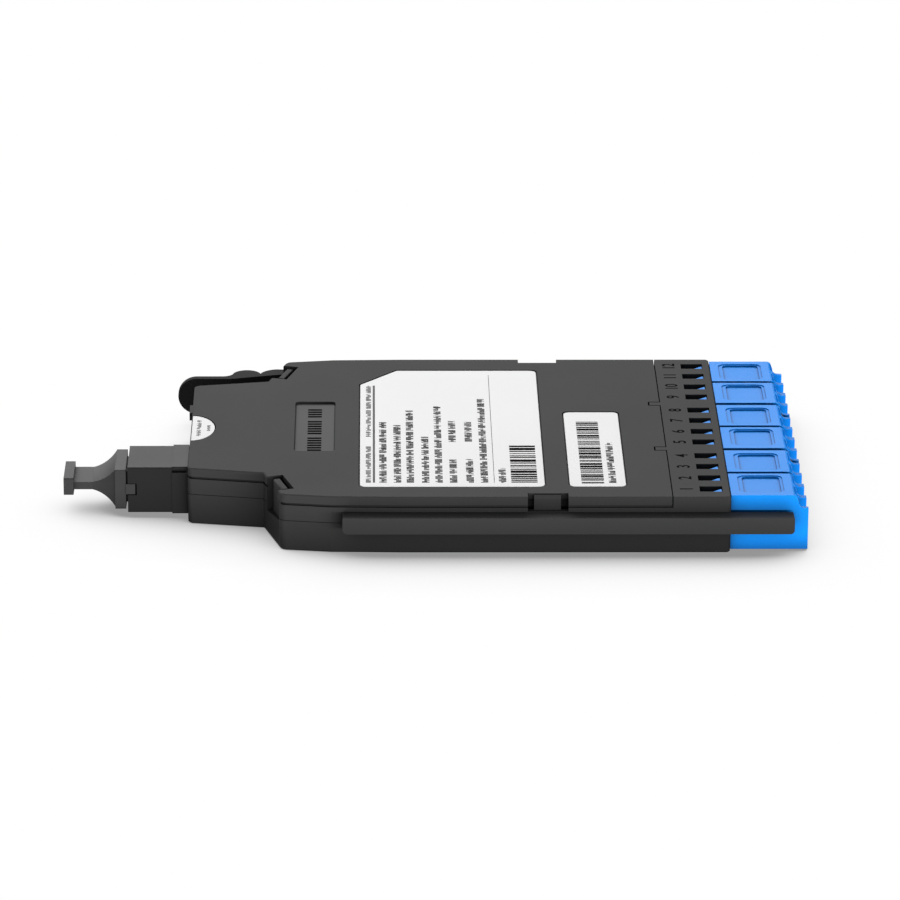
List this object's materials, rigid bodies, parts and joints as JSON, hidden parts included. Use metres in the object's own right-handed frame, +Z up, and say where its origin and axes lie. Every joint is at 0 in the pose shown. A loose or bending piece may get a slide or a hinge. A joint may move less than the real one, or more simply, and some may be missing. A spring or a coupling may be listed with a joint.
{
  "type": "fibre cassette",
  "caption": "Thin black fibre cassette with slide rails, shuttered blue duplex LC ports at the front, a capped MPO adapter at the rear and a side release lever.",
  "frame": {"origin": "on the underside, on the plane midway between the two slide rails, about 60 mm behind the front edge of the housing", "axes": "+X from the rear (MPO) to the front (LC ports), +Y to the side that has the release lever, +Z up"},
  "size_m": [0.1508, 0.0894, 0.012],
  "materials": {
    "housing_black": "fine matte moulding",
    "lever_black": "matte moulding",
    "adapter_blue": "satin moulding",
    "shutter_blue": "satin moulding",
    "mpo_black": "matte moulding",
    "cap_grey": "matte moulding",
    "label_white": "printed film",
    "spring_steel": "bright wire",
    "ceramic_white": "polished zirconia",
    "fibre_jacket": "smooth jacket"
  },
  "bodies": {
    "cassette": {"base_shell": "housing_black", "top_cover": "housing_black", "front_bezel": "housing_black", "mpo_adapter": "mpo_black", "mpo_plug": "mpo_black", "lever_spring": "spring_steel", "fanout_block": "mpo_black", "fibre_ribbon": "fibre_jacket", "main_label": "label_white", "small_label": "label_white", "seal_label": "label_white", "lc_adapter_1": "adapter_blue", "lc_adapter_2": "adapter_blue", "lc_adapter_3": "adapter_blue", "split_sleeves_1": "ceramic_white", "split_sleeves_2": "ceramic_white", "split_sleeves_3": "ceramic_white", "inner_plug_01": "adapter_blue", "inner_plug_02": "adapter_blue", "inner_plug_03": "adapter_blue", "inner_plug_04": "adapter_blue", "inner_plug_05": "adapter_blue", "inner_plug_06": "adapter_blue", "inner_plug_07": "adapter_blue", "inner_plug_08": "adapter_blue", "inner_plug_09": "adapter_blue", "inner_plug_10": "adapter_blue", "inner_plug_11": "adapter_blue", "inner_plug_12": "adapter_blue", "fibre_leg_01": "fibre_jacket", "fibre_leg_02": "fibre_jacket", "fibre_leg_03": "fibre_jacket", "fibre_leg_04": "fibre_jacket", "fibre_leg_05": "fibre_jacket", "fibre_leg_06": "fibre_jacket", "fibre_leg_07": "fibre_jacket", "fibre_leg_08": "fibre_jacket", "fibre_leg_09": "fibre_jacket", "fibre_leg_10": "fibre_jacket", "fibre_leg_11": "fibre_jacket", "fibre_leg_12": "fibre_jacket"},
    "dust_cap": {"dust_cap": "cap_grey"},
    "release_lever": {"release_lever": "lever_black"},
    "shutter_01": {"shutter_01": "shutter_blue"},
    "shutter_02": {"shutter_02": "shutter_blue"},
    "shutter_03": {"shutter_03": "shutter_blue"},
    "shutter_04": {"shutter_04": "shutter_blue"},
    "shutter_05": {"shutter_05": "shutter_blue"},
    "shutter_06": {"shutter_06": "shutter_blue"},
    "shutter_07": {"shutter_07": "shutter_blue"},
    "shutter_08": {"shutter_08": "shutter_blue"},
    "shutter_09": {"shutter_09": "shutter_blue"},
    "shutter_10": {"shutter_10": "shutter_blue"},
    "shutter_11": {"shutter_11": "shutter_blue"},
    "shutter_12": {"shutter_12": "shutter_blue"}
  },
  "joints": [
    {"name": "dust_cap_slide", "type": "slide", "parent": "cassette", "child": "dust_cap", "axis": [-1, 0, 0], "range_m": [0, 0.012]},
    {"name": "release_lever_hinge", "type": "hinge", "parent": "cassette", "child": "release_lever", "pos_m": [-0.0262, 0.0359, 0.006], "axis": [0, 0, 1], "range_deg": [0, 6], "stiffness_Nm_per_rad": 0.004},
    {"name": "shutter_01_hinge", "type": "hinge", "parent": "cassette", "child": "shutter_01", "pos_m": [0.0704, -0.03659, 0.00725], "axis": [0, 1, 0], "range_deg": [0, 88], "stiffness_Nm_per_rad": 0.000001},
    {"name": "shutter_02_hinge", "type": "hinge", "parent": "cassette", "child": "shutter_02", "pos_m": [0.0704, -0.03034, 0.00725], "axis": [0, 1, 0], "range_deg": [0, 88], "stiffness_Nm_per_rad": 0.000001},
    {"name": "shutter_03_hinge", "type": "hinge", "parent": "cassette", "child": "shutter_03", "pos_m": [0.0704, -0.0238, 0.00725], "axis": [0, 1, 0], "range_deg": [0, 88], "stiffness_Nm_per_rad": 0.000001},
    {"name": "shutter_04_hinge", "type": "hinge", "parent": "cassette", "child": "shutter_04", "pos_m": [0.0704, -0.01755, 0.00725], "axis": [0, 1, 0], "range_deg": [0, 88], "stiffness_Nm_per_rad": 0.000001},
    {"name": "shutter_05_hinge", "type": "hinge", "parent": "cassette", "child": "shutter_05", "pos_m": [0.0704, -0.00952, 0.00725], "axis": [0, 1, 0], "range_deg": [0, 88], "stiffness_Nm_per_rad": 0.000001},
    {"name": "shutter_06_hinge", "type": "hinge", "parent": "cassette", "child": "shutter_06", "pos_m": [0.0704, -0.00327, 0.00725], "axis": [0, 1, 0], "range_deg": [0, 88], "stiffness_Nm_per_rad": 0.000001},
    {"name": "shutter_07_hinge", "type": "hinge", "parent": "cassette", "child": "shutter_07", "pos_m": [0.0704, 0.00327, 0.00725], "axis": [0, 1, 0], "range_deg": [0, 88], "stiffness_Nm_per_rad": 0.000001},
    {"name": "shutter_08_hinge", "type": "hinge", "parent": "cassette", "child": "shutter_08", "pos_m": [0.0704, 0.00952, 0.00725], "axis": [0, 1, 0], "range_deg": [0, 88], "stiffness_Nm_per_rad": 0.000001},
    {"name": "shutter_09_hinge", "type": "hinge", "parent": "cassette", "child": "shutter_09", "pos_m": [0.0704, 0.01755, 0.00725], "axis": [0, 1, 0], "range_deg": [0, 88], "stiffness_Nm_per_rad": 0.000001},
    {"name": "shutter_10_hinge", "type": "hinge", "parent": "cassette", "child": "shutter_10", "pos_m": [0.0704, 0.0238, 0.00725], "axis": [0, 1, 0], "range_deg": [0, 88], "stiffness_Nm_per_rad": 0.000001},
    {"name": "shutter_11_hinge", "type": "hinge", "parent": "cassette", "child": "shutter_11", "pos_m": [0.0704, 0.03034, 0.00725], "axis": [0, 1, 0], "range_deg": [0, 88], "stiffness_Nm_per_rad": 0.000001},
    {"name": "shutter_12_hinge", "type": "hinge", "parent": "cassette", "child": "shutter_12", "pos_m": [0.0704, 0.03659, 0.00725], "axis": [0, 1, 0], "range_deg": [0, 88], "stiffness_Nm_per_rad": 0.000001}
  ]
}
